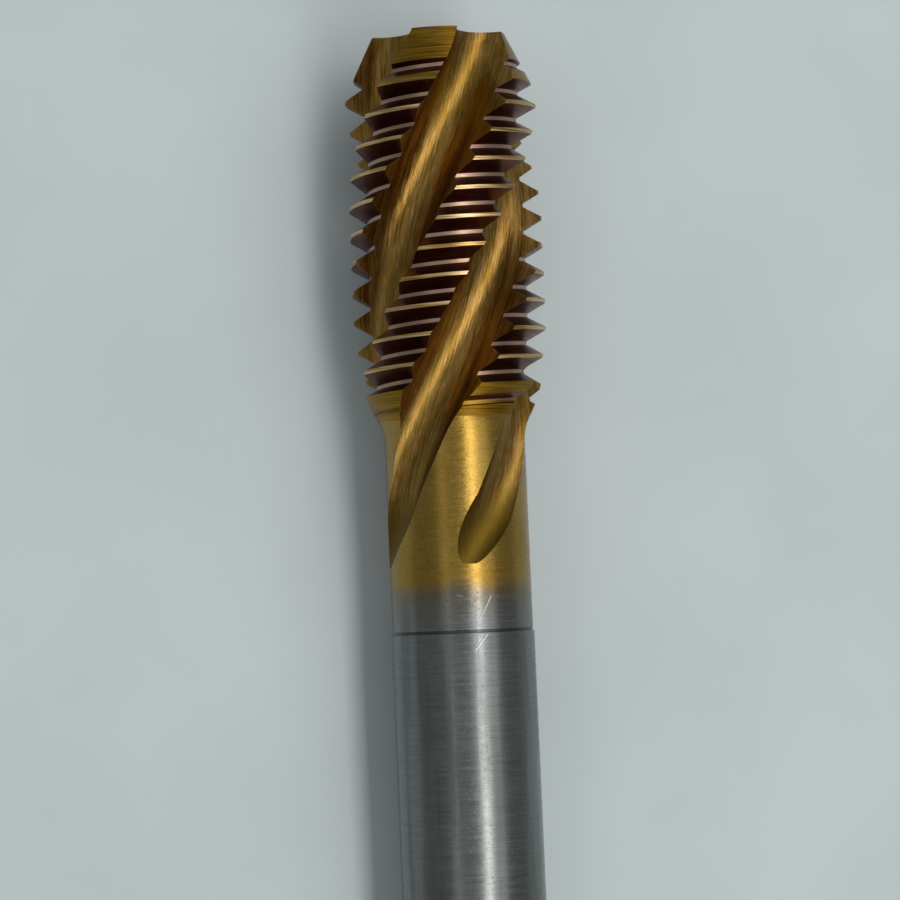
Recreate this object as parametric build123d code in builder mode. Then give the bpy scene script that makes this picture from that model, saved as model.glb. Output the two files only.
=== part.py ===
from build123d import *
from math import acos, atan, atan2, ceil, cos, degrees, radians, sin, tan
import os

# A spiral-flute machine tap for an M12 x 1.75 thread, in millimetres.
# It is made about its own axis, with Z = 0 at the cutting end and the drive square at the
# far end, and is laid on its side last, the way it rests on a bench.

# --- Overall form ---------------------------------------------------------------------------
overall_length = 89.0
tap_diameter = 12.1
full_thread_end = 21.9
neck_diameter = 8.8
neck_end = 37.2
shank_diameter = 8.96
shank_step_length = 0.5
end_rounding = 0.5

# --- Thread ---------------------------------------------------------------------------------
pitch = 1.75
thread_angle = 60.0
crest_flat = 0.22
root_flat = 0.22
thread_phase = 0.25

# --- Cutting end and back of the thread -----------------------------------------------------
tip_diameter = 8.5
chamfer_angle = 25.5
back_cone_angle = 30.0
neck_fillet_radius = 3.0

# --- Flutes ---------------------------------------------------------------------------------
flute_count = 4
flute_lead = 56.5
flute_centre_angle = 57.5
flute_floor_radius = 1.7
flute_rake_angle = 8.0
flute_heel_angle = 32.5
core_diameter_at_tip = 5.4
core_diameter_at_runout = 6.95
runout_start = 29.8
runout_wheel_radius = 34.0
runout_wheel_tilt = 11.2

# --- Drive square and centre holes ----------------------------------------------------------
square_across_flats = 7.1
square_length = 10.0
square_shoulder_radius = 1.5
centre_hole_diameter = 1.6
centre_hole_depth = 3.0
centre_cone_diameter = 3.2
centre_cone_angle = 60.0
drill_point_angle = 118.0

# --- Rest -----------------------------------------------------------------------------------
resting_crest = 16.2

# --- Worked out from the sizes above --------------------------------------------------------
tap_radius = tap_diameter / 2
tip_radius = tip_diameter / 2
neck_radius = neck_diameter / 2
shank_radius = shank_diameter / 2
flank_slope = tan(radians(thread_angle / 2))
thread_depth = (pitch - crest_flat - root_flat) / 2 / flank_slope
chamfer_length = (tap_radius - tip_radius) / tan(radians(chamfer_angle))
back_cone_end = full_thread_end + (tap_radius - neck_radius) / tan(radians(back_cone_angle))
overcut = crest_flat / 4

# --- Turned blank: chamfered tip, thread diameter, relieved neck and ground shank ------------
with BuildPart() as blank:
    with BuildSketch(Plane.XZ):
        with BuildLine():
            Polyline(
                (0, 0),
                (tip_radius, 0),
                (tap_radius, chamfer_length),
                (tap_radius, full_thread_end),
                (neck_radius, back_cone_end),
                (neck_radius, neck_end),
                (shank_radius, neck_end + shank_step_length),
                (shank_radius, overall_length),
                (0, overall_length),
                close=True,
            )
        make_face()
    revolve(axis=Axis.Z)
    rims = blank.edges().filter_by(GeomType.CIRCLE)
    fillet(rims.sort_by(lambda rim: abs(rim.center().Z - back_cone_end))[0], neck_fillet_radius)
    fillet(blank.edges().filter_by(GeomType.CIRCLE).sort_by(Axis.Z)[-1], end_rounding)

# --- Thread groove: one turn of a flat-bottomed V on a right-hand helix ----------------------
root_radius = tap_radius - thread_depth
half_root = root_flat / 2
half_mouth = half_root + (thread_depth + overcut) * flank_slope
with BuildPart() as groove_turn:
    with BuildLine():
        groove_path = Helix(pitch, pitch, root_radius)
    with BuildSketch(Plane(groove_path @ 0, x_dir=(1, 0, 0), z_dir=groove_path % 0)):
        with BuildLine():
            Polyline(
                (0, -half_root),
                (0, half_root),
                (thread_depth + overcut, half_mouth),
                (thread_depth + overcut, -half_mouth),
                close=True,
            )
        make_face()
    sweep(path=groove_path, is_frenet=True)

# --- Flute: the grinding wheel's section, drawn square to its path ---------------------------
# The path is the centre of the rounded floor. It runs from the run-out down past the tip and
# closes in on the axis, because the core gets thinner towards the tip. At the run-out the
# wheel, turned a little further round than the flute, leaves the neck on its own large arc.
# A ball at the wheel's lowest point fills the wedge between the flute and that arc.
core_taper = degrees(atan((core_diameter_at_runout - core_diameter_at_tip) / 2 / runout_start))
runout_centre = Vector(0, 0, runout_start)
wheel_path_radius = core_diameter_at_runout / 2 + flute_floor_radius
lift_height = (tap_diameter - core_diameter_at_runout) / 2
lift_angle = degrees(acos(1 - lift_height / runout_wheel_radius))
with BuildPart() as flute_cutter:
    with BuildLine():
        wheel_path = Helix(
            flute_lead,
            runout_start + flute_floor_radius,
            wheel_path_radius,
            center=runout_centre,
            direction=(0, 0, -1),
            cone_angle=-core_taper,
        )
    wheel_start = wheel_path @ 0
    wheel_plane = Plane(wheel_start, x_dir=wheel_start - runout_centre, z_dir=wheel_path % 0)
    with BuildSketch(wheel_plane):
        with BuildLine():
            floor_start = 90 + flute_heel_angle
            floor_sweep = 180 - flute_heel_angle - flute_rake_angle
            floor_arc = CenterArc((0, 0), flute_floor_radius, floor_start, floor_sweep)
            heel_wall = PolarLine(floor_arc @ 0, tap_radius, flute_heel_angle)
            rake_wall = PolarLine(floor_arc @ 1, tap_radius, -flute_rake_angle)
            Line(heel_wall @ 1, rake_wall @ 1)
        make_face()
    sweep(path=wheel_path, is_frenet=True)
    with Locations(wheel_start):
        Sphere(flute_floor_radius)
    lift_plane = wheel_plane.rotated((runout_wheel_tilt, 0, 0))
    with BuildSketch(lift_plane):
        with BuildLine():
            rim = CenterArc((0, 0), flute_floor_radius, 90, 180)
            Line(rim @ 0, rim @ 1)
        make_face()
    lift_centre = lift_plane.from_local_coords((runout_wheel_radius - flute_floor_radius, 0, 0))
    revolve(axis=Axis(lift_centre, -lift_plane.y_dir), revolution_arc=lift_angle)

# --- Flat of the drive square, with the round shoulder that its milling cutter leaves --------
with BuildPart() as flat_cutter:
    with BuildSketch(Plane.XZ):
        with Locations((square_across_flats / 2, overall_length - square_length)):
            Rectangle(tap_diameter, 2 * square_length, align=(Align.MIN, Align.MIN))
    extrude(amount=shank_diameter, both=True)
    shoulder = flat_cutter.edges().filter_by(Axis.Y).group_by(Axis.Z)[0]
    fillet(shoulder.sort_by(Axis.X)[0], square_shoulder_radius)

# --- Centre drill: pilot and lathe-centre cone, drilled from Z = 0 upwards -------------------
cone_radius = centre_cone_diameter / 2
pilot_radius = centre_hole_diameter / 2
cone_depth = (cone_radius - pilot_radius) / tan(radians(centre_cone_angle / 2))
point_depth = pilot_radius / tan(radians(drill_point_angle / 2))
with BuildPart() as centre_drill:
    with BuildSketch(Plane.XZ):
        with BuildLine():
            Polyline(
                (0, 0),
                (cone_radius, 0),
                (pilot_radius, cone_depth),
                (pilot_radius, centre_hole_depth),
                (0, centre_hole_depth + point_depth),
                close=True,
            )
        make_face()
    revolve(axis=Axis.Z)

# --- The tap on its own axis -----------------------------------------------------------------
groove_start = thread_phase - 2 * pitch
groove_turns = ceil((back_cone_end - groove_start) / pitch)
flute_turn_to_runout = 360 * runout_start / flute_lead
wheel_start_angle = degrees(atan2(wheel_start.Y, wheel_start.X))
with BuildPart() as upright_tap:
    add(blank.part)
    for turn in range(groove_turns):
        with Locations((0, 0, groove_start + turn * pitch)):
            add(groove_turn.part, mode=Mode.SUBTRACT)
    first_flute = flute_centre_angle + flute_turn_to_runout - wheel_start_angle
    with PolarLocations(0, flute_count, start_angle=first_flute):
        add(flute_cutter.part, mode=Mode.SUBTRACT)
    with PolarLocations(0, 4):
        add(flat_cutter.part, mode=Mode.SUBTRACT)
    with Locations(Location(), Location((0, 0, overall_length), (180, 0, 0))):
        add(centre_drill.part, mode=Mode.SUBTRACT)

# --- Laid down: it rests on the end of the round shank and on the land that is underneath. The
# flutes are turned so that the next land's last thread touches too and stops it from rolling.
rest_run = overall_length - square_length - resting_crest
rest_tilt = atan((tap_radius - shank_radius) / rest_run)
tip_height = tap_radius * cos(rest_tilt) + resting_crest * sin(rest_tilt)
tip_reach = overall_length / 2 * cos(rest_tilt)
with BuildPart() as thread_tap:
    with Locations(Location((0, tip_reach, tip_height), (90 + degrees(rest_tilt), 0, 0))):
        add(upright_tap.part)

os.makedirs("parts", exist_ok=True)
thread_tap.part.label = "thread_tap"
export_step(thread_tap.part, "parts/thread_tap.step")
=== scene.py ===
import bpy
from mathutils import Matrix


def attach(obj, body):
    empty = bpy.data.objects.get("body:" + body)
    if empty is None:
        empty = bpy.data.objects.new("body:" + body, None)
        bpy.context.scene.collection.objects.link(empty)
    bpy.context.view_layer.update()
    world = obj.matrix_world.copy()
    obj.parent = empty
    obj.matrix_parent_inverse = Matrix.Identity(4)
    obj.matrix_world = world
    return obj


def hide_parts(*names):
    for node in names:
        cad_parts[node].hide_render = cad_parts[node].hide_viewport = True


bl_info = {
    "name": "Spiral-flute thread tap",
    "version": (1, 0, 0),
    "blender": (4, 5, 0),
    "location": "3D View > Sidebar > Thread Tap",
    "description": "Builds a coated spiral-flute machine tap with its stage",
    "category": "Add Mesh",
}

import bmesh
import bpy
import numpy as np
from bpy.props import FloatProperty, FloatVectorProperty, PointerProperty
from bpy.types import Operator, Panel, PropertyGroup
from mathutils import Matrix, Vector

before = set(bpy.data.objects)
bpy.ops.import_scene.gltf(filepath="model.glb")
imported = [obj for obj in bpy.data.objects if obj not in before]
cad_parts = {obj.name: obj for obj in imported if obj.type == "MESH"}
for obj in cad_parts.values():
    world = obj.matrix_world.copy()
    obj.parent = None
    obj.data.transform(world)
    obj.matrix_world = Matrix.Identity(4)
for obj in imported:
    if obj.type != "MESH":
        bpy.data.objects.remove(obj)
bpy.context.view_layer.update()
TAP_NODE = "thread_tap"

MM = 0.001
TURN = 2 * np.pi
FLUTES = 4
FLATS = 4
PLACE = "place_on_tap"
HEIGHT = "thread_height"
# Mark of the land edges, where a painted highlight goes
EDGE_HIGHLIGHT = "edge_painted_highlight"
FLUTE, THREAD, ROUND = range(3)

# Columns of one flute and of the land that follows it
FLOOR_STEPS = 18
WALL_STEPS = 3
LAND_STEPS = 24

# Rows and their spacing along the tap
THREAD_MARGIN = 0.35 * MM
BEND_ROWS = 7
LEVEL_RUN = 1.4 * MM
LEVEL_ROW = 0.12 * MM
NECK_ROW = 0.2 * MM
LEAN_RUN = 3.5 * MM
CLOSING_ROWS = 44
CLOSING_EASE = 1.7
LEAN_END = np.radians(4)
PLAIN_ROW = 0.5 * MM
STEP_CLEARANCE = 0.1 * MM
STEP_END = 0.6 * MM
SHANK_ROWS = 46
SHOULDER_ROWS = 12
FLAT_ROWS = 8

# Rounds of the searches for where two surfaces meet
THREAD_ROUNDS = 24
NECK_ROUNDS = 16
HALVINGS = 40
SAMPLES = 401

# The fine line and the rounded step where the shank starts
RELIEF_DEPTH = 0.03 * MM
RELIEF_WIDTH = 0.12 * MM
STEP_RISE = 0.04 * MM
STEP_BEVEL = 0.06 * MM
STEP_DROP = 0.02 * MM

# How far under the thread's roots a flute's floor columns meet its wall columns
HIDDEN_STEP = 0.15 * MM

# Radius at the point of a hole, and the least depth of thread that counts as one
POINT_RADIUS = 1e-9
THIN = 1e-6

# Cleaning of the mesh, and the angle from which an edge is sharp
MERGE = 0.0008 * MM
SLIVER = 0.0004 * MM
SHARP = np.radians(24)

# Pocket faces are flutes from this place along the bench to the cutting end
FLUTE_END_Y = 0.008

# Scratches: place round and along the tap, direction, half length and half width, in mm
SCRATCHES = (
    ((0.79, 35.9), -28.0, (0.85, 0.06)),
    ((0.39, 38.1), -38.0, (0.7, 0.06)),
    ((0.25, 38.0), -30.0, (0.45, 0.04)),
    ((-0.86, 35.2), 80.0, (0.28, 0.06)),
)

# Lamps: name, lean to the right and spread in degrees, and colour
LAMPS = (
    ("window", 15.5, 12.0, (1, 0.98, 0.95)),
    ("glow", 33.5, 24.0, (1, 0.99, 0.97)),
    ("ceiling", -14.0, 44.0, (1, 1, 1)),
    ("side", -34.0, 11.0, (1, 1, 1)),
)
LAMP_DISTANCE = 0.6
LAMP_LENGTH = 1.6
FLOOR_HALF = 1.5

# Camera: turned round the tap, leaning and rolled, at a place on the tap's own axes
VIEW_TURN = np.radians(9.7)
CAMERA_LEAN = 0.0531
CAMERA_ROLL = 0.0428
CAMERA_SPOT = (0, 187.97 * MM, 36.03 * MM)
CAMERA_SHIFT = -0.0057


# --- Sizes and colours that a user may change -------------------------------------------------


def length(name, description, millimetres):
    """A size, given in millimetres."""
    return FloatProperty(
        name=name,
        description=description,
        default=millimetres * MM,
        subtype="DISTANCE",
        unit="LENGTH",
        precision=5,
    )


def angle(name, description, degrees):
    """An angle, given in degrees."""
    return FloatProperty(
        name=name,
        description=description,
        default=np.radians(degrees),
        subtype="ANGLE",
        unit="ROTATION",
    )


def colour(name, description, rgb):
    """A colour, given as red, green and blue in linear light."""
    return FloatVectorProperty(
        name=name,
        description=description,
        default=rgb,
        size=3,
        min=0.0,
        max=1.0,
        subtype="COLOR",
    )


def amount(name, description, default, top=1.0):
    """A strength from 0 to its top."""
    return FloatProperty(
        name=name,
        description=description,
        default=default,
        min=0.0,
        max=top,
    )


class TapSizes(PropertyGroup):
    """Sizes of the tap, measured along and round its own axis"""

    overall_length: length("Overall length", "From the cutting end to the drive end", 89.0)
    tap_diameter: length("Thread diameter", "Diameter over the full crests", 12.1)
    full_thread_end: length("Full thread end", "Where the full thread stops", 21.9)
    pitch: length("Pitch", "Distance from one thread to the next", 1.75)
    crest_flat: length("Crest flat", "Width of the flat on a full crest", 0.22)
    root_flat: length("Root flat", "Width of the flat at the root", 0.22)
    thread_phase: length("Thread phase", "Height of the first root on the X side", 0.25)
    thread_angle: angle("Thread angle", "Angle between the two flanks", 60.0)
    tip_diameter: length("Tip diameter", "Diameter at the cutting end", 8.5)
    chamfer_angle: angle("Chamfer angle", "Slope of the cutting chamfer", 25.5)
    back_cone_angle: angle("Back cone angle", "Slope behind the thread", 30.0)
    neck_fillet_radius: length("Neck fillet", "Radius at the foot of the back cone", 3.0)
    neck_diameter: length("Neck diameter", "Diameter behind the thread", 8.8)
    neck_end: length("Neck end", "Where the shank starts", 37.34)
    shank_diameter: length("Shank diameter", "Diameter of the shank", 8.96)
    end_rounding: length("End rounding", "Radius round the drive end", 0.5)
    flute_lead: length("Flute lead", "Length of one turn of a flute", 56.5)
    flute_angle: angle("Flute angle", "Where the first flute starts at the tip", 57.5)
    flute_floor_radius: length("Flute floor radius", "Radius of the rounded floor", 1.7)
    rake_angle: angle("Rake wall angle", "Lean of the flute wall with the cutting edges", 8.0)
    heel_angle: angle("Heel wall angle", "Lean of the flute's other wall", 32.5)
    core_at_tip: length("Core at tip", "Core diameter at the cutting end", 5.4)
    core_at_runout: length("Core at run-out", "Core diameter where the flutes lift", 6.95)
    runout_start: length("Run-out start", "Where the wheel starts to lift", 29.8)
    runout_wheel_radius: length("Wheel radius", "Radius of the lifting arc", 34.0)
    wheel_tilt: angle("Wheel tilt", "How much further than the flute the lifting wheel turns", 11.2)
    square_across_flats: length("Square", "Size of the drive square", 7.1)
    square_length: length("Square length", "Length of the drive square", 10.0)
    shoulder_radius: length("Shoulder radius", "Cutter radius at the square", 1.5)
    hole_diameter: length("Centre hole", "Diameter of the pilot hole", 1.6)
    hole_depth: length("Centre hole depth", "Depth of the pilot hole", 3.0)
    cone_diameter: length("Centre cone", "Mouth of the lathe-centre cone", 3.2)
    cone_angle: angle("Cone angle", "Angle of the lathe-centre cone", 60.0)
    point_angle: angle("Point angle", "Angle of the drill's point in the pilot hole", 118.0)
    resting_crest: length("Resting crest", "Where the thread touches the bench", 16.2)


class TapFinish(PropertyGroup):
    """Colours of the coated cutting end and the bare steel shank"""

    coat_light: colour("Coating", "Gold nitride coating", (0.30, 0.168, 0.020))
    coat_deep: colour("Deep coating", "Coating where it is thick and dull", (0.15, 0.078, 0.006))
    streak: colour("Streak", "Paler streaks along the flutes", (0.38, 0.225, 0.078))
    grain: colour("Neck grain", "Paler grain in the neck's coating", (0.36, 0.235, 0.06))
    olive: colour("Olive coating", "Greenish tint in parts of the flutes", (0.175, 0.108, 0.012))
    neck: colour("Neck coating", "Brown gold on the neck", (0.24, 0.142, 0.02))
    # Painted shade: a darker, redder copy of the coating for the thread flanks.
    flank_shade: colour("Flank", "Brown coating on the thread flanks", (0.13, 0.04, 0.022))
    # Painted highlight: a lighter, pinker copy of the coating for the thread roots.
    root: colour("Root", "Pink coating on the thread roots", (0.42, 0.28, 0.20))
    # Painted highlight: a light gold for the full crests, and for the land edges and glints in the
    # flutes.
    crest: colour("Crest", "Rubbed coating on crests and edges", (0.66, 0.50, 0.28))
    steel: colour("Steel", "Bare ground steel", (0.168, 0.177, 0.172))
    temper: colour("Temper", "Tinted steel next to the coating", (0.175, 0.155, 0.115))
    coating_end: length("Coating end", "Where the coating fades out", 34.7)
    coating_fade: length("Coating fade", "Length over which it fades", 1.3)
    line_depth: amount("Line depth", "Strength of the grinding lines", 0.5)


class StageSettings(PropertyGroup):
    """Floor, lamps and camera"""

    floor: colour("Floor", "Pale blue-grey bench top", (0.50, 0.56, 0.57))
    surround: colour("Surround", "Colour of the room", (0.64, 0.66, 0.68))
    surround_strength: amount("Surround strength", "Brightness of the room", 0.42)
    window_strength: amount("Window", "Brightness of the narrow lamp on the right", 5.2, 50.0)
    glow_strength: amount("Glow", "Brightness of the wide lamp beside the window", 0.85, 50.0)
    ceiling_strength: amount("Ceiling", "Brightness of the soft lamp overhead", 0.16, 50.0)
    side_strength: amount("Side", "Brightness of the narrow lamp on the left", 0.5, 50.0)
    lens: FloatProperty(
        name="Lens",
        description="Focal length of the camera",
        default=120.0,
        min=10.0,
    )


# --- Shape of the tap -------------------------------------------------------------------------


class TapForm:
    """The tap's surfaces as numbers: angle and height on its own axis, with Z = 0 at the tip."""

    def __init__(self, sizes):
        self.s = sizes
        self.radius = sizes.tap_diameter / 2
        self.tip_radius = sizes.tip_diameter / 2
        self.neck_radius = sizes.neck_diameter / 2
        self.shank_radius = sizes.shank_diameter / 2
        self.flank_slope = np.tan(sizes.thread_angle / 2)
        self.depth = (sizes.pitch - sizes.crest_flat - sizes.root_flat) / 2 / self.flank_slope
        self.root_radius = self.radius - self.depth
        self.outline = self.blank_outline()
        self.last_groove = sizes.full_thread_end + self.depth / np.tan(sizes.back_cone_angle)

    def blank_outline(self):
        """Heights and radii of the turned blank, from the tip to the drive end."""
        s = self.s
        chamfer_end = (self.radius - self.tip_radius) / np.tan(s.chamfer_angle)
        cone_run = (self.radius - self.neck_radius) / np.tan(s.back_cone_angle)
        cone_foot = s.full_thread_end + cone_run
        tangent = s.neck_fillet_radius * np.tan(s.back_cone_angle / 2)
        points = [(0.0, self.tip_radius), (chamfer_end, self.radius)]
        points.append((s.full_thread_end, self.radius))
        for lean in np.linspace(s.back_cone_angle, 0.0, BEND_ROWS):
            height = cone_foot + tangent - s.neck_fillet_radius * np.sin(lean)
            radius = self.neck_radius + s.neck_fillet_radius * (1 - np.cos(lean))
            points.append((height, radius))
        points += self.step_points()
        rounding_start = s.overall_length - s.end_rounding
        for lean in np.linspace(0.0, np.pi / 2, BEND_ROWS):
            height = rounding_start + s.end_rounding * np.sin(lean)
            radius = self.shank_radius - s.end_rounding * (1 - np.cos(lean))
            points.append((height, radius))
        return np.array(points).T

    def step_points(self):
        """The fine relief line and the small step where the shank starts."""
        start = self.s.neck_end
        floor = self.neck_radius - RELIEF_DEPTH
        line_end = start + RELIEF_WIDTH
        return [
            (start - RELIEF_DEPTH, self.neck_radius),
            (start, floor),
            (line_end, floor),
            (line_end + STEP_RISE, self.shank_radius - STEP_DROP),
            (line_end + STEP_RISE + STEP_BEVEL, self.shank_radius),
        ]

    def blank_radius(self, height):
        """Radius of the turned blank, before the thread and the flutes."""
        return np.interp(height, *self.outline)

    def core_radius(self, travel):
        """Radius of the core that the flutes leave, which grows from the tip."""
        s = self.s
        growth = (s.core_at_runout - s.core_at_tip) / 2 / s.runout_start
        return s.core_at_tip / 2 + growth * travel

    def helix(self, travel):
        """Angle between the flute's path and the tap's axis."""
        path_radius = self.core_radius(travel) + self.s.flute_floor_radius
        return np.arctan(TURN * path_radius / self.s.flute_lead)

    def wall_angle(self, across):
        """Lean of the wall on one side of the flute: the rake wall is on the plus side."""
        return np.where(np.asarray(across) > 0, self.s.rake_angle, self.s.heel_angle)

    def section(self, across):
        """Depth and sideways offset of the flute's section at a distance along its outline."""
        floor = self.s.flute_floor_radius
        wall = self.wall_angle(across)
        reach = np.abs(across)
        arc = floor * (np.pi / 2 - wall)
        bend = np.minimum(reach, arc) / floor
        rise = np.maximum(reach - arc, 0)
        depth = rise * np.cos(wall) - floor * np.cos(bend)
        side = rise * np.sin(wall) + floor * np.sin(bend)
        return depth, side * np.sign(across)

    def flute_point(self, travel, across, lift=0.0, tilt=0.0):
        """Radius, angle and height of a point that the grinding wheel leaves in a flute."""
        s = self.s
        depth, side = self.section(across)
        helix = self.helix(travel) + tilt
        inward = s.runout_wheel_radius - s.flute_floor_radius - depth
        radial = self.core_radius(travel) + s.runout_wheel_radius - inward * np.cos(lift)
        along = inward * np.sin(lift)
        tangential = along * np.sin(helix) + side * np.cos(helix)
        height = travel + along * np.cos(helix) - side * np.sin(helix)
        turn = TURN * travel / s.flute_lead + np.arctan2(tangential, radial)
        return np.hypot(radial, tangential), turn, height

    def lifted_point(self, across, lift):
        """A point of the lifting wheel's cut. Its first rows lean into the flute's last row."""
        s = self.s
        lean = np.clip(1 - lift / LEAN_END, 0, 1) * np.tan(s.wheel_tilt / 2)
        side = self.section(across)[1]
        turned = lift + lean * side / s.runout_wheel_radius
        return self.flute_point(s.runout_start, across, turned, s.wheel_tilt)

    def reach_at(self, radius, travel, across):
        """How far along its outline the flute's section reaches the given radius."""
        floor = self.s.flute_floor_radius
        wall = self.wall_angle(across)
        path = self.core_radius(travel) + floor
        squeeze = np.cos(self.helix(travel)) ** 2
        quad = floor**2 * (1 - squeeze)
        rest = path**2 + floor**2 * squeeze - radius**2
        root = np.sqrt(np.maximum((path * floor) ** 2 - quad * rest, 0))
        cosine = np.clip((root - path * floor) / quad, -1, 1)
        on_arc = floor * (np.pi - np.arccos(cosine))
        foot, side = path - floor * np.sin(wall), floor * np.cos(wall)
        run, lean = np.cos(wall), np.sin(wall)
        quad = run**2 + squeeze * lean**2
        half = foot * run + squeeze * side * lean
        rest = foot**2 + squeeze * side**2 - radius**2
        on_wall = (np.sqrt(np.maximum(half**2 - quad * rest, 0)) - half) / quad
        arc = floor * (np.pi / 2 - wall)
        return np.where(on_wall > 0, arc + on_wall, on_arc)

    def groove_height(self, turn):
        """Height of the thread groove's centre at an angle."""
        return self.s.thread_phase + self.s.pitch * turn / TURN


class Columns:
    """The grid's columns: for each flute its section, then the land up to the next flute."""

    def __init__(self, pocket_inner, pocket_outer):
        self.inner = pocket_inner
        self.outer = pocket_outer
        self.pocket = len(pocket_inner)
        self.block = self.pocket + LAND_STEPS - 1
        self.count = FLUTES * self.block

    def in_pocket(self):
        """Which columns belong to a flute."""
        return np.arange(self.count + 1) % self.block < self.pocket

    def widen(self, pockets, next_first):
        """Adds the lands between pockets. pockets has shape (rows, flutes, pocket)."""
        ahead = np.concatenate([pockets[:, 1:, :1], next_first[:, None, None]], axis=1)
        share = np.arange(1, LAND_STEPS) / LAND_STEPS
        lands = pockets[:, :, -1:] * (1 - share) + ahead * share
        blocks = np.concatenate([pockets, lands], axis=2)
        rows = blocks.reshape(len(pockets), -1)
        return np.concatenate([rows, next_first[:, None]], axis=1)


def flute_columns():
    """Columns of one flute: its rounded floor in the middle and a wall on each side."""
    floor = np.linspace(-1, 1, FLOOR_STEPS + 1)
    wall = np.arange(1, WALL_STEPS + 1) / WALL_STEPS
    ones = np.ones(WALL_STEPS)
    inner = np.concatenate([-ones, floor, ones])
    outer = np.concatenate([-wall[::-1], np.zeros(FLOOR_STEPS + 1), wall])
    return Columns(inner, outer)


def thread_rows(form):
    """Turn number, side and level of each row that runs round with the thread."""
    turns = np.ceil(form.last_groove / form.s.pitch) + 2
    steps = [(0, 0, 0), (1, 0, 0), (1, 1 / 3, 0), (1, 2 / 3, 0), (1, 1, 0), (1, 1, 1)]
    steps += [(-1, 1, 2), (-1, 2 / 3, 2), (-1, 1 / 3, 2), (-1, 0, 2)]
    rows = []
    for number in np.arange(-3, turns):
        for side, level, kind in steps:
            ahead = 1 if kind == 2 else 0
            rows.append((number + ahead, side, level, kind == 1))
    return np.array(rows, dtype=float).T


def row_offset(form, side, level, middle, height):
    """Distance of a row from its groove's centre, and the row's radius."""
    s = form.s
    blank = form.blank_radius(height)
    cut = np.clip(blank - form.root_radius, 0, form.depth)
    offset = side * (s.root_flat / 2 + level * cut * form.flank_slope)
    offset = np.where(middle > 0, s.pitch / 2, offset)
    return offset, np.minimum(blank, form.root_radius + level * cut)


def pocket_across(form, columns, radius, height, travel):
    """Where each pocket column lies along the flute's section."""
    reach = form.reach_at(radius, travel, columns.inner)
    low = np.minimum(form.blank_radius(height), form.root_radius) - HIDDEN_STEP
    floor = form.reach_at(low, travel, columns.inner)
    return columns.inner * floor + columns.outer * (reach - floor)


def row_step(form, rows, turn, height, top):
    """One step of the search for each row's height and radius at the given angles."""
    number, side, level, middle = rows
    offset = row_offset(form, side, level, middle, height)[0]
    wanted = form.groove_height(turn) + number * form.s.pitch + offset
    height = np.clip(wanted, 0, top)
    radius = row_offset(form, side, level, middle, height)[1]
    return height, np.where(height == wanted, radius, form.blank_radius(height))


def pocket_rows(form, columns, rows, top):
    """Radius and angle of the thread's rows inside the flutes."""
    first = form.s.flute_angle + TURN * np.arange(FLUTES + 1)[None, :, None] / FLUTES
    height = np.zeros((rows.shape[1], FLUTES + 1, columns.pocket))
    travel = height
    turn = height + first
    for _ in range(THREAD_ROUNDS):
        height, radius = row_step(form, rows, turn, height, top)
        across = pocket_across(form, columns, radius, height, travel)
        travel = height + form.section(across)[1] * np.sin(form.helix(travel))
        reach, turn, _ = form.flute_point(travel, across)
        turn = turn + first
    return reach, turn


def thread_zone(form, columns, top):
    """Threaded and fluted length, as rows that follow the thread."""
    rows = thread_rows(form)[:, :, None, None]
    reach, turn = pocket_rows(form, columns, rows, top)
    turns = columns.widen(turn[:, :FLUTES], turn[:, FLUTES, 0])
    reach = columns.widen(reach[:, :FLUTES], reach[:, FLUTES, 0])
    heights = np.zeros(turns.shape)
    for _ in range(THREAD_ROUNDS):
        heights, radii = row_step(form, rows[..., 0], turns, heights, top)
    return np.where(columns.in_pocket(), reach, radii), turns, heights


def neck_zone(form, columns, start):
    """Fluted neck up to the run-out: rows turn from level to where the wheel tilts."""
    s = form.s
    level_rows = np.arange(start, start + LEVEL_RUN, LEVEL_ROW)
    steps = np.arange(level_rows[-1] + NECK_ROW, s.runout_start, NECK_ROW)
    centres = np.concatenate([level_rows, steps, [s.runout_start]])[:, None]
    tilt = np.clip((centres - start) / LEAN_RUN, 0, 1)
    travel = centres + np.zeros(columns.pocket)
    height = travel
    for _ in range(NECK_ROUNDS):
        across = pocket_across(form, columns, form.blank_radius(height), height, travel)
        side = form.section(across)[1]
        level = np.sin(form.helix(travel))
        corner = -np.tan(s.wheel_tilt / 2) * np.cos(form.helix(travel))
        travel = centres + side * (level + (corner - level) * tilt)
        height = travel - side * level
    radius, turn, height = form.flute_point(travel, across)
    left, right = across[-1, 0], across[-1, -1]
    return radius, turn, height, (2 * across[-1] - left - right) / (right - left)


def closing_samples(form):
    """Distances along the section, from one side of the neck to the other."""
    reach = form.reach_at(form.neck_radius, form.s.runout_start, -1)
    return np.linspace(-reach, reach, SAMPLES)


def closing_edges(form, lift, sign):
    """Where the lifted section meets the neck on one side of its lowest point."""
    samples = closing_samples(form)
    radius = form.lifted_point(samples, lift[:, None])[0]
    inside = samples[np.argmin(radius, axis=1)]
    outside = inside + sign * 1.2 * samples[-1]
    for _ in range(HALVINGS):
        middle = (inside + outside) / 2
        deep = form.lifted_point(middle, lift)[0] < form.neck_radius
        inside = np.where(deep, middle, inside)
        outside = np.where(deep, outside, middle)
    return inside


def closing_zone(form, share):
    """Run-out, where the wheel lifts out of the neck and the flute closes."""
    low, high = 0.0, np.pi / 4
    samples = closing_samples(form)
    for _ in range(HALVINGS):
        middle = (low + high) / 2
        if form.lifted_point(samples, middle)[0].min() < form.neck_radius:
            low = middle
        else:
            high = middle
    lift = low * (1 - np.linspace(1, 0, CLOSING_ROWS + 1)[1:] ** CLOSING_EASE)
    left = closing_edges(form, lift, -1)
    right = closing_edges(form, lift, 1)
    centre = (left + right)[:, None] / 2
    half = (right - left)[:, None] / 2
    return form.lifted_point(centre + half * share, lift[:, None])


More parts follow.
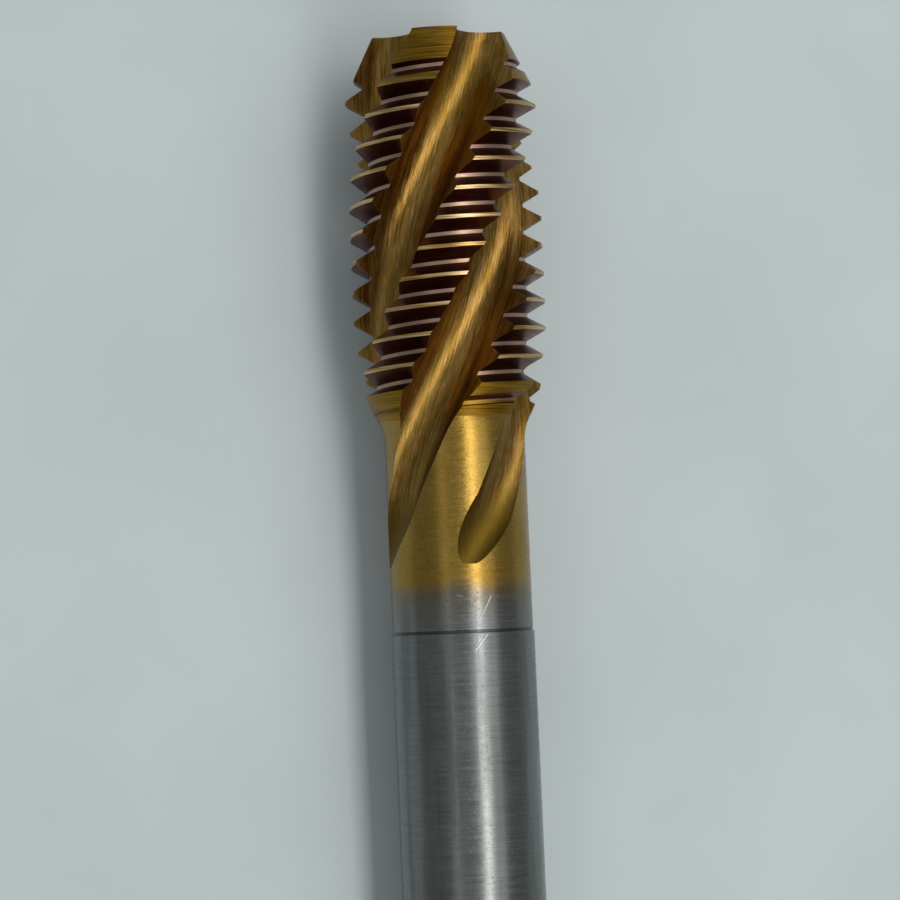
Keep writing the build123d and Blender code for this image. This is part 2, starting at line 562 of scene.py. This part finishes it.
def repeat_round(form, columns, turn, value):
    """Copies one flute's grid to all flutes and fills the lands between them."""
    first = form.s.flute_angle + TURN * np.arange(FLUTES) / FLUTES
    turns = turn[:, None, :] + first[None, :, None]
    turns = columns.widen(turns, turns[:, 0, 0] + TURN)
    values = np.repeat(value[:, None, :], FLUTES, axis=1)
    return turns, columns.widen(values, values[:, 0, 0])


def round_rows(columns, radii, turns, heights):
    """Plain turned rows, where each pocket has closed to one line."""
    pockets = turns[:, None, None] + TURN * np.arange(FLUTES)[None, :, None] / FLUTES
    pockets = pockets + np.zeros(columns.pocket)
    turn = columns.widen(pockets, turns + TURN)
    shape = np.ones(turn.shape)
    return radii[:, None] * shape, turn, heights[:, None] * shape


def shank_zone(form, columns, start_turn, start):
    """Neck and shank from the run-out to the square, turned slowly into line with it."""
    s = form.s
    neck = np.arange(start, s.neck_end - STEP_CLEARANCE, PLAIN_ROW)
    step = np.array([height for height, _ in form.step_points()])
    base = s.overall_length - s.square_length
    shank = np.linspace(s.neck_end + STEP_END, base, SHANK_ROWS)
    heights = np.concatenate([neck, step, shank])
    quarter = TURN / FLATS
    goal = np.round(start_turn / quarter) * quarter
    share = np.clip((heights - s.neck_end) / (shank[-1] - s.neck_end), 0, 1)
    turns = start_turn + (goal - start_turn) * share
    return round_rows(columns, form.blank_radius(heights), turns, heights)


def square_zone(form, columns, turn):
    """Drive square: flats with the milling cutter's round shoulder, and round corners."""
    s = form.s
    flat = s.square_across_flats / 2
    base = s.overall_length - s.square_length
    gap = form.shank_radius - flat
    sink = np.sqrt(s.shoulder_radius**2 - (s.shoulder_radius - gap) ** 2)
    first = s.shoulder_radius - sink
    ease = (1 - np.cos(np.linspace(0, np.pi / 2, SHOULDER_ROWS))) * (s.shoulder_radius - first)
    ends = s.overall_length - s.end_rounding * (1 - np.sin(np.linspace(0, np.pi / 2, BEND_ROWS)))
    middle = np.linspace(base + s.shoulder_radius, ends[0], FLAT_ROWS)[1:-1]
    heights = np.concatenate([base + first + ease, middle, ends])[:, None, None]
    left = np.clip(base + s.shoulder_radius - heights, 0, s.shoulder_radius)
    face = flat + s.shoulder_radius - np.sqrt(s.shoulder_radius**2 - left**2)
    blank = form.blank_radius(heights)
    half = np.arccos(np.clip(face / blank, -1, 1))
    share = np.linspace(-1, 1, columns.pocket)
    bend = np.arctan(share * np.tan(half))
    centres = turn + TURN * np.arange(FLATS)[None, :, None] / FLATS
    turns = bend + centres
    reach = np.minimum(face / np.cos(bend), blank) + np.zeros(turns.shape)
    turns = columns.widen(turns, turns[:, 0, 0] + TURN)
    radii = columns.widen(reach, reach[:, 0, 0])
    radii = np.where(columns.in_pocket(), radii, blank[:, :, 0])
    return radii, turns, heights[:, :, 0] * np.ones(turns.shape)


def hole_zone(form, turns, face, inward):
    """End face, lathe-centre cone and pilot hole, from the outside in."""
    s = form.s
    pilot = s.hole_diameter / 2
    cone = s.cone_diameter / 2
    cone_depth = (cone - pilot) / np.tan(s.cone_angle / 2)
    point_depth = s.hole_depth + pilot / np.tan(s.point_angle / 2)
    rings = [(cone, 0.0), (pilot, cone_depth), (pilot, s.hole_depth), (POINT_RADIUS, point_depth)]
    radii = np.array([radius for radius, _ in rings])[:, None]
    heights = np.array([face + inward * depth for _, depth in rings])[:, None]
    shape = np.ones(len(turns))
    return radii * shape, turns * np.ones(radii.shape), heights * shape


def fluted_neck(form, columns, start):
    """Neck and run-out of all the flutes, with the lands between them."""
    *neck, share = neck_zone(form, columns, start)
    closing = closing_zone(form, share)
    radius, turn, height = (np.vstack(parts) for parts in zip(neck, closing))
    turns, heights = repeat_round(form, columns, turn, height)
    reach = repeat_round(form, columns, turn, radius)[1]
    return np.where(columns.in_pocket(), reach, form.blank_radius(heights)), turns, heights


def tap_grid(form):
    """All rows from the tip's hole to the drive end's hole, with a finish for each row."""
    columns = flute_columns()
    top = form.last_groove + THREAD_MARGIN
    thread = thread_zone(form, columns, top)
    neck = fluted_neck(form, columns, top)
    closed = columns.pocket // 2
    shank = shank_zone(form, columns, neck[1][-1, closed], neck[2][-1, closed])
    square = square_zone(form, columns, shank[1][-1, 0])
    tip_hole = hole_zone(form, thread[1][0], 0.0, 1)
    tip_hole = tuple(part[::-1] for part in tip_hole)
    drive_hole = hole_zone(form, square[1][-1], form.s.overall_length, -1)
    zones = [(tip_hole, ROUND), (thread, THREAD), (neck, ROUND)]
    zones += [(shank, ROUND), (square, ROUND), (drive_hole, ROUND)]
    return columns, zones


def laid_down(form):
    """The tap's own axis placed along the bench: it rests on a land and on the shank."""
    s = form.s
    run = s.overall_length - s.square_length - s.resting_crest
    tilt = np.arctan((form.radius - form.shank_radius) / run)
    height = form.radius * np.cos(tilt) + s.resting_crest * np.sin(tilt)
    reach = s.overall_length / 2 * np.cos(tilt)
    place = Matrix.Translation((0, reach, height))
    return place @ Matrix.Rotation(np.pi / 2 + tilt, 4, "X")


def edge_highlight_marks(columns, zone, finish):
    """1 on the land edges of the thread zone, where a light gold is painted as a highlight, and 0
    elsewhere.
    """
    across = np.arange(columns.count + 1) % columns.block
    rim = (across == 0) | (across == columns.pocket - 1)
    marks = np.zeros(zone[0].shape)
    if finish == THREAD:
        marks[:, rim] = 1.0
    return marks


def level_marks(form, zone, finish):
    """How far up the thread each point is: 0 at the root and 1 on the blank's surface."""
    if finish != THREAD:
        return np.ones(zone[0].shape)
    blank = form.blank_radius(zone[2])
    cut = np.clip(blank - form.root_radius, THIN, form.depth)
    level = np.clip((zone[0] - form.root_radius) / cut, 0, 1)
    return np.where(blank < form.root_radius + THIN, 1.0, level)


def add_zone(bm, layers, form, columns, zone, finish, last):
    """Adds a zone's rows of points, and the faces between them. Returns its last row."""
    radius, turn, height = zone
    points = np.stack([radius * np.cos(turn), radius * np.sin(turn), height], axis=-1)
    place = np.array(laid_down(form))
    placed = points @ place[:3, :3].T + place[:3, 3]
    levels = level_marks(form, zone, finish)
    marks = edge_highlight_marks(columns, zone, finish)
    for row in range(len(points)):
        line = []
        for column in range(columns.count + 1):
            vert = bm.verts.new(placed[row, column])
            vert[layers[PLACE]] = Vector(points[row, column] / MM)
            vert[layers[HEIGHT]] = levels[row, column]
            vert[layers[EDGE_HIGHLIGHT]] = marks[row, column]
            line.append(vert)
        if last is not None:
            join_rows(bm, columns, last, line, finish)
        last = line
    return last


def join_rows(bm, columns, last, line, finish):
    """Faces between two rows. Pocket faces are flutes on the cutting end."""
    for column in range(columns.count):
        corners = (last[column], last[column + 1], line[column + 1], line[column])
        face = bm.faces.new(corners)
        face.material_index = finish
        in_pocket = column % columns.block < columns.pocket - 1
        if in_pocket and corners[0].co.y > FLUTE_END_Y:
            face.material_index = FLUTE


def tap_mesh(form):
    """The whole tap as one mesh in the frame's place."""
    columns, zones = tap_grid(form)
    bm = bmesh.new()
    bm.verts.layers.float_vector.new(PLACE)
    bm.verts.layers.float.new(HEIGHT)
    bm.verts.layers.float.new(EDGE_HIGHLIGHT)
    layers = {name: bm.verts.layers.float[name] for name in (HEIGHT, EDGE_HIGHLIGHT)}
    layers[PLACE] = bm.verts.layers.float_vector[PLACE]
    last = None
    for zone, finish in zones:
        last = add_zone(bm, layers, form, columns, zone, finish, last)
    bmesh.ops.remove_doubles(bm, verts=bm.verts, dist=MERGE)
    bmesh.ops.dissolve_degenerate(bm, edges=bm.edges, dist=SLIVER)
    bmesh.ops.recalc_face_normals(bm, faces=bm.faces)
    mesh = bpy.data.meshes.new("thread_tap_dressed")
    bm.to_mesh(mesh)
    bm.free()
    mesh.polygons.foreach_set("use_smooth", [True] * len(mesh.polygons))
    mesh.set_sharp_from_angle(angle=SHARP)
    return mesh


# --- Finishes ---------------------------------------------------------------------------------


class Number:
    """A number that runs through a material, used in plain arithmetic."""

    def __init__(self, recipe, socket):
        self.recipe = recipe
        self.socket = socket

    def _math(self, operation, *numbers):
        return self.recipe.node("ShaderNodeMath", {"operation": operation}, numbers)

    def __add__(self, other):
        return self._math("ADD", self, other)

    def __radd__(self, other):
        return self._math("ADD", other, self)

    def __sub__(self, other):
        return self._math("SUBTRACT", self, other)

    def __rsub__(self, other):
        return self._math("SUBTRACT", other, self)

    def __mul__(self, other):
        return self._math("MULTIPLY", self, other)

    def __rmul__(self, other):
        return self._math("MULTIPLY", other, self)

    def __abs__(self):
        return self._math("ABSOLUTE", self)


class Recipe:
    """A material that is built node by node."""

    def __init__(self, name):
        self.material = bpy.data.materials.new(name)
        self.material.use_nodes = True
        self.tree = self.material.node_tree
        self.tree.nodes.clear()

    def node(self, kind, settings=None, sockets=(), output=0):
        """Adds a node: its settings first, then the values or links of its sockets."""
        made = self.tree.nodes.new(kind)
        for name, value in (settings or {}).items():
            setattr(made, name, value)
        pairs = sockets.items() if isinstance(sockets, dict) else enumerate(sockets)
        for key, value in pairs:
            if isinstance(value, Number):
                self.tree.links.new(value.socket, made.inputs[key])
            elif value is not None:
                made.inputs[key].default_value = value
        return Number(self, made.outputs[output]) if len(made.outputs) else None

    def between(self, value, low, high):
        """0 below low, 1 above high and a soft change in between."""
        settings = {"interpolation_type": "SMOOTHSTEP"}
        return self.node("ShaderNodeMapRange", settings, {0: value, 1: low, 2: high})

    def blend(self, factor, first, second):
        """Mixes two colours."""
        settings = {"data_type": "RGBA"}
        return self.node("ShaderNodeMix", settings, {0: factor, 6: first, 7: second}, 2)

    def stretch(self, vector, scale):
        """Scales a place on each axis."""
        return self.node("ShaderNodeVectorMath", {"operation": "MULTIPLY"}, (vector, scale))

    def noise(self, vector, scale=1.0, detail=2.0, roughness=0.5):
        """Soft random values, near 0.5 on average."""
        sockets = {"Vector": vector, "Scale": scale, "Detail": detail, "Roughness": roughness}
        return self.node("ShaderNodeTexNoise", {}, sockets)

    def place(self):
        """The point's place on the tap in millimetres."""
        settings = {"attribute_name": PLACE}
        return self.node("ShaderNodeAttribute", settings, output=1)

    def mark(self, name):
        """A number that the mesh carries at each point."""
        return self.node("ShaderNodeAttribute", {"attribute_name": name}, output=2)

    def split(self, vector):
        """A vector's three parts."""
        parts = self.node("ShaderNodeSeparateXYZ", {}, (vector,))
        outputs = parts.socket.node.outputs
        return tuple(Number(self, outputs[axis]) for axis in range(3))

    def bump(self, height, distance, strength):
        """Small relief, as a normal."""
        sockets = {"Strength": strength, "Distance": distance, "Height": height}
        return self.node("ShaderNodeBump", {}, sockets)

    def finish(self, sockets):
        """Puts the shader on the material, which is then complete."""
        shader = self.node("ShaderNodeBsdfPrincipled", {}, sockets)
        self.node("ShaderNodeOutputMaterial", {}, {"Surface": shader})
        return self.material


def rgba(shade, gain=1.0):
    """A colour for a node, made lighter or darker by a gain."""
    return tuple(min(1.0, part * gain) for part in shade) + (1.0,)


def flute_finish(sizes, finish):
    """Coated flutes with the wheel's lines running along them, painted glints, a painted highlight
    along the land edges and painted shade at the run-out's end.
    """
    r = Recipe("coated_flute")
    place = r.place()
    z = r.split(place)[2]
    twist = z * (-TURN / (sizes.flute_lead / MM))
    settings = {"rotation_type": "Z_AXIS"}
    straight = r.node("ShaderNodeVectorRotate", settings, {"Vector": place, "Angle": twist})
    fine = r.noise(r.stretch(straight, (9.0, 9.0, 0.16)), 1.0, 3.0, 0.6)
    broken = r.noise(r.stretch(straight, (13.0, 13.0, 1.1)), 1.0, 3.0, 0.6)
    broad = r.noise(r.stretch(straight, (2.2, 2.2, 0.05)), 1.0, 2.0, 0.5)
    cloud = r.noise(r.stretch(place, (0.25, 0.25, 0.12)), 1.0, 2.0)
    lines = r.between(fine * 0.35 + broken * 0.35 + broad * 0.3, 0.38, 0.62)
    # Painted highlight: the flute faces next to the land edges are lightened toward the crest
    # colour.
    edge_light_mask = r.between(r.mark(EDGE_HIGHLIGHT), 0.55, 1.0)
    start = sizes.runout_start / MM
    # Painted shade: toward the run-out's end the flute is darkened toward a dull olive, loses its
    # painted glints and grows rougher.
    runout_shade_mask = r.between(z, start - 2.0, start + 1.0)
    tone = r.blend(lines * 0.8, rgba(finish.coat_deep), rgba(finish.streak))
    tone = r.blend(r.between(cloud, 0.40, 0.65) * 0.45, tone, rgba(finish.olive))
    tone = r.blend(runout_shade_mask * 0.85, tone, rgba(finish.olive, 0.65))
    # Painted glints: broken streaks along the flutes are lightened toward the crest colour, fading
    # toward the run-out.
    painted_glint = r.between(broken, 0.56, 0.76) * (1.0 - runout_shade_mask) * 0.3
    tone = r.blend(painted_glint + edge_light_mask * 0.3, tone, rgba(finish.crest))
    rough = 0.24 + lines * 0.10 + r.between(cloud, 0.3, 0.7) * 0.06 + runout_shade_mask * 0.16
    height = fine * 0.6 + broken * 0.5 + broad * 0.8
    return r.finish({
        "Base Color": tone,
        "Metallic": 1.0,
        "Roughness": rough,
        "Normal": r.bump(height, 0.03 * MM, finish.line_depth),
    })


def thread_finish(sizes, finish):
    """Coated thread: painted highlights on the full crests, pink painted highlights on the roots,
    painted shade on the brown flanks, lines running round.
    """
    r = Recipe("coated_thread")
    place = r.place()
    z = r.split(place)[2]
    level = r.mark(HEIGHT)
    lines = r.noise(r.stretch(place, (0.25, 0.25, 11.0)), 1.0, 3.0, 0.6)
    rings = r.between(lines, 0.35, 0.65)
    cloud = r.noise(r.stretch(place, (0.6, 0.6, 0.5)), 1.0, 3.0)
    rise = (sizes.tap_diameter - sizes.tip_diameter) / 2
    chamfer = rise / np.tan(sizes.chamfer_angle) / MM
    back = sizes.full_thread_end / MM
    full = r.between(z, chamfer - 0.6, chamfer + 0.4) * (1.0 - r.between(z, back - 0.2, back))
    crest = r.between(level, 0.97, 1.0)
    root = 1.0 - r.between(level, 0.0, 0.03)
    ground = r.blend(rings, rgba(finish.coat_deep), rgba(finish.coat_light))
    # Painted highlight: the full crests are lightened toward the crest colour.
    crest_highlight = r.blend(rings, rgba(finish.coat_light), rgba(finish.crest))
    outer = r.blend(full, ground, crest_highlight)
    # Painted shade on the flanks and roots below the crests, with a random cloud in it.
    flank_shade = r.blend(r.between(cloud, 0.35, 0.7), rgba(finish.flank_shade), rgba(finish.flank_shade, 0.6))
    tone = r.blend(crest, flank_shade, outer)
    # Painted highlight on the root flats.
    tone = r.blend(root * 0.8, tone, rgba(finish.root))
    tone = r.blend(r.between(z, back + 1.2, back + 1.5), tone, ground)
    rough = 0.30 + r.between(lines, 0.3, 0.7) * 0.12
    return r.finish({
        "Base Color": tone,
        "Metallic": 1.0,
        "Roughness": rough,
        "Normal": r.bump(lines, 0.015 * MM, finish.line_depth),
    })


def scratch(r, around, along, centre, direction, size):
    """A short bright scratch, by its centre, direction and half length and width in mm."""
    turn = np.radians(direction)
    side = around - centre[0]
    run = along - centre[1]
    ahead = side * float(np.sin(turn)) + run * float(np.cos(turn))
    across = side * float(np.cos(turn)) - run * float(np.sin(turn))
    core = 1.0 - r.between(abs(across), size[1] * 0.4, size[1])
    return core * (1.0 - r.between(abs(ahead), size[0] * 0.7, size[0]))


def scratches(r, sizes, x, y, z):
    """All the scratches together, by their places round and along the tap."""
    turn = r.node("ShaderNodeMath", {"operation": "ARCTAN2"}, (x, y))
    around = turn * (sizes.shank_diameter / 2 / MM)
    return sum(scratch(r, around, z, *mark) for mark in SCRATCHES)


def step_painted_shade(r, sizes, z):
    """Painted shade: a dark line in the fine relief where the shank starts."""
    middle = (sizes.neck_end + RELIEF_WIDTH / 2) / MM
    return 1.0 - r.between(abs(z - middle), 0.03, 0.10)


def neck_coat(r, finish, mottle, specks):
    """Mottled gold of the neck, with dull specks."""
    coat = r.blend(mottle, rgba(finish.neck), rgba(finish.grain))
    return r.blend(specks * 0.6, coat, rgba(finish.coat_deep, 0.8))


def shank_steel(r, finish, lines, smudge, specks, tempered):
    """Bare steel with lengthwise smudges, tinted where it meets the coating."""
    steel = r.blend(lines, rgba(finish.steel, 0.90), rgba(finish.steel, 1.15))
    steel = r.blend(smudge * 0.5, steel, rgba(finish.steel, 0.6))
    steel = r.blend(1.0 - tempered, steel, rgba(finish.temper))
    return r.blend(specks * 0.35, steel, rgba(finish.steel, 0.5))


def round_finish(sizes, finish):
    """Ground neck and shank: the coating fades into bare steel, with painted shade in the relief
    line where the shank starts.
    """
    r = Recipe("ground_steel")
    place = r.place()
    x, y, z = r.split(place)
    fine = r.noise(r.stretch(place, (0.35, 0.35, 14.0)), 1.0, 4.0, 0.65)
    bands = r.noise(r.stretch(place, (0.06, 0.06, 2.5)), 1.0, 2.0)
    cloud = r.noise(r.stretch(place, (0.5, 0.5, 0.35)), 1.0, 3.0)
    grit = r.noise(r.stretch(place, (6.0, 6.0, 6.0)), 1.0, 3.0, 0.7)
    smudge = r.noise(r.stretch(place, (1.4, 1.4, 0.10)), 1.0, 4.0)
    smudge = r.between(smudge, 0.45, 0.68)
    lines = r.between(fine, 0.34, 0.66)
    specks = r.between(grit, 0.60, 0.70)
    end = finish.coating_end / MM
    fade = finish.coating_fade / MM
    ragged = z + (cloud - 0.5) * 1.0 + (grit - 0.5) * 0.5
    bare = r.between(ragged, end - fade / 2, end + fade / 2)
    coated = 1.0 - bare
    tempered = r.between(ragged, end, end + fade * 1.8)
    mottle = lines * 0.15 + r.between(cloud, 0.3, 0.7) * 0.3 + r.between(grit, 0.35, 0.65) * 0.5
    coat = neck_coat(r, finish, mottle, specks)
    steel = shank_steel(r, finish, lines, smudge, specks, tempered)
    tone = r.blend(bare, coat, steel)
    # Painted shade: the relief line is darkened toward a near-black steel.
    groove = step_painted_shade(r, sizes, z)
    tone = r.blend(groove * 0.7, tone, rgba(finish.steel, 0.15))
    cuts = scratches(r, sizes, x, y, z)
    tone = r.blend(cuts * 0.75, tone, rgba(finish.steel, 2.2))
    rough = 0.20 + lines * 0.06 + smudge * bare * 0.07 + r.between(bands, 0.3, 0.7) * 0.05
    rough = rough + coated * 0.02 + specks * 0.06
    height = fine * (0.15 + bare * 0.35) + bands * 0.4 + grit * coated * 0.9
    height = height - specks * 0.5 - cuts
    return r.finish({
        "Base Color": tone,
        "Metallic": 1.0,
        "Roughness": rough,
        "Normal": r.bump(height, 0.015 * MM, finish.line_depth),
    })


def floor_finish(settings):
    """Pale, faintly mottled bench top."""
    r = Recipe("bench_top")
    place = r.node("ShaderNodeNewGeometry", output=0)
    soft = r.noise(place, 60.0, 3.0)
    grain = r.noise(place, 1400.0, 2.0)
    tone = r.blend(r.between(soft, 0.3, 0.7), rgba(settings.floor, 0.97), rgba(settings.floor, 1.03))
    rough = 0.75 + grain * 0.1
    return r.finish({
        "Base Color": tone,
        "Roughness": rough,
        "Specular IOR Level": 0.2,
        "Normal": r.bump(grain, 0.02 * MM, 0.15),
    })


# --- Stage ------------------------------------------------------------------------------------


def add_lamp(name, lean, spread, strength, shade):
    """A long lamp over the tap, by its lean to the right, its spread and its brightness."""
    turn = Matrix.Rotation(np.radians(lean), 4, "Y")
    width = 2 * LAMP_DISTANCE * np.tan(np.radians(spread / 2))
    data = bpy.data.lights.new(name, "AREA")
    data.shape = "RECTANGLE"
    data.size = width
    data.size_y = LAMP_LENGTH
    data.energy = strength * np.pi * width * LAMP_LENGTH
    data.color = shade
    lamp = bpy.data.objects.new(name, data)
    bpy.context.scene.collection.objects.link(lamp)
    lamp.matrix_world = turn @ Matrix.Translation((0, 0, LAMP_DISTANCE))


def add_camera(sizes, lens):
    """Looks down on the cutting end, as the tap lies on the bench."""
    right = Vector((1, 0, 0))
    down = Vector((0, -np.sin(CAMERA_LEAN), np.cos(CAMERA_LEAN)))
    back = Vector((0, np.cos(CAMERA_LEAN), np.sin(CAMERA_LEAN)))
    image_right = right * np.cos(CAMERA_ROLL) + down * np.sin(CAMERA_ROLL)
    image_up = right * np.sin(CAMERA_ROLL) - down * np.cos(CAMERA_ROLL)
    facing = Matrix((image_right, image_up, back)).transposed().to_4x4()
    data = bpy.data.cameras.new("camera")
    data.lens = lens
    data.sensor_width = 36.0
    data.shift_x = CAMERA_SHIFT
    data.clip_start = 0.01
    data.clip_end = 10.0
    camera = bpy.data.objects.new("camera", data)
    bpy.context.scene.collection.objects.link(camera)
    side = Matrix.Rotation(VIEW_TURN, 4, "Z")
    spot = Matrix.Translation(CAMERA_SPOT)
    camera.matrix_world = laid_down(TapForm(sizes)) @ side @ spot @ facing
    bpy.context.scene.camera = camera


def light_world(settings):
    """An even, pale room all round."""
    world = bpy.data.worlds.new("room")
    world.use_nodes = True
    background = world.node_tree.nodes["Background"]
    background.inputs["Color"].default_value = rgba(settings.surround)
    background.inputs["Strength"].default_value = settings.surround_strength
    bpy.context.scene.world = world


def add_floor(settings):
    """The flat bench top that the tap lies on."""
    half = FLOOR_HALF
    mesh = bpy.data.meshes.new("bench")
    corners = [(-half, -half, 0), (half, -half, 0), (half, half, 0), (-half, half, 0)]
    mesh.from_pydata(corners, [], [(0, 1, 2, 3)])
    mesh.materials.append(floor_finish(settings))
    bench = bpy.data.objects.new("bench", mesh)
    bpy.context.scene.collection.objects.link(bench)


# --- Operators and panel ----------------------------------------------------------------------


class TAP_OT_make_tap(Operator):
    """Build the tap with its finishes in place of the plain solid"""

    bl_idname = "tap.make_tap"
    bl_label = "Make thread tap"

    def execute(self, context):
        scene = context.scene
        mesh = tap_mesh(TapForm(scene.tap_sizes))
        mesh.materials.append(flute_finish(scene.tap_sizes, scene.tap_finish))
        mesh.materials.append(thread_finish(scene.tap_sizes, scene.tap_finish))
        mesh.materials.append(round_finish(scene.tap_sizes, scene.tap_finish))
        tap = bpy.data.objects.new("thread_tap_dressed", mesh)
        scene.collection.objects.link(tap)
        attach(tap, "root")
        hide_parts(TAP_NODE)
        return {"FINISHED"}


class TAP_OT_make_stage(Operator):
    """Build the bench top, the lamps, the room and the camera"""

    bl_idname = "tap.make_stage"
    bl_label = "Make stage"

    def execute(self, context):
        settings = context.scene.tap_stage
        context.scene.view_settings.view_transform = "Standard"
        add_floor(settings)
        light_world(settings)
        for name, lean, spread, shade in LAMPS:
            add_lamp(name, lean, spread, getattr(settings, name + "_strength"), shade)
        add_camera(context.scene.tap_sizes, settings.lens)
        return {"FINISHED"}


class TAP_PT_panel(Panel):
    """Sizes, colours and builders of the tap"""

    bl_idname = "TAP_PT_panel"
    bl_label = "Thread Tap"
    bl_space_type = "VIEW_3D"
    bl_region_type = "UI"
    bl_category = "Thread Tap"

    def draw(self, context):
        scene = context.scene
        groups = {"Sizes": scene.tap_sizes, "Finish": scene.tap_finish, "Stage": scene.tap_stage}
        for title, group in groups.items():
            box = self.layout.box()
            box.label(text=title)
            for name in group.bl_rna.properties.keys():
                if name not in {"rna_type", "name"}:
                    box.prop(group, name)
        self.layout.operator(TAP_OT_make_tap.bl_idname)
        self.layout.operator(TAP_OT_make_stage.bl_idname)


CLASSES = (
    TapSizes,
    TapFinish,
    StageSettings,
    TAP_OT_make_tap,
    TAP_OT_make_stage,
    TAP_PT_panel,
)


def register():
    """Adds the classes and the groups of values to Blender."""
    for cls in CLASSES:
        bpy.utils.register_class(cls)
    bpy.types.Scene.tap_sizes = PointerProperty(type=TapSizes)
    bpy.types.Scene.tap_finish = PointerProperty(type=TapFinish)
    bpy.types.Scene.tap_stage = PointerProperty(type=StageSettings)


def unregister():
    """Takes them away again."""
    del bpy.types.Scene.tap_stage
    del bpy.types.Scene.tap_finish
    del bpy.types.Scene.tap_sizes
    for cls in reversed(CLASSES):
        bpy.utils.unregister_class(cls)


def main():
    """Builds the tap and its stage."""
    register()
    bpy.ops.tap.make_tap()
    bpy.ops.tap.make_stage()


if __name__ == "__main__":
    main()
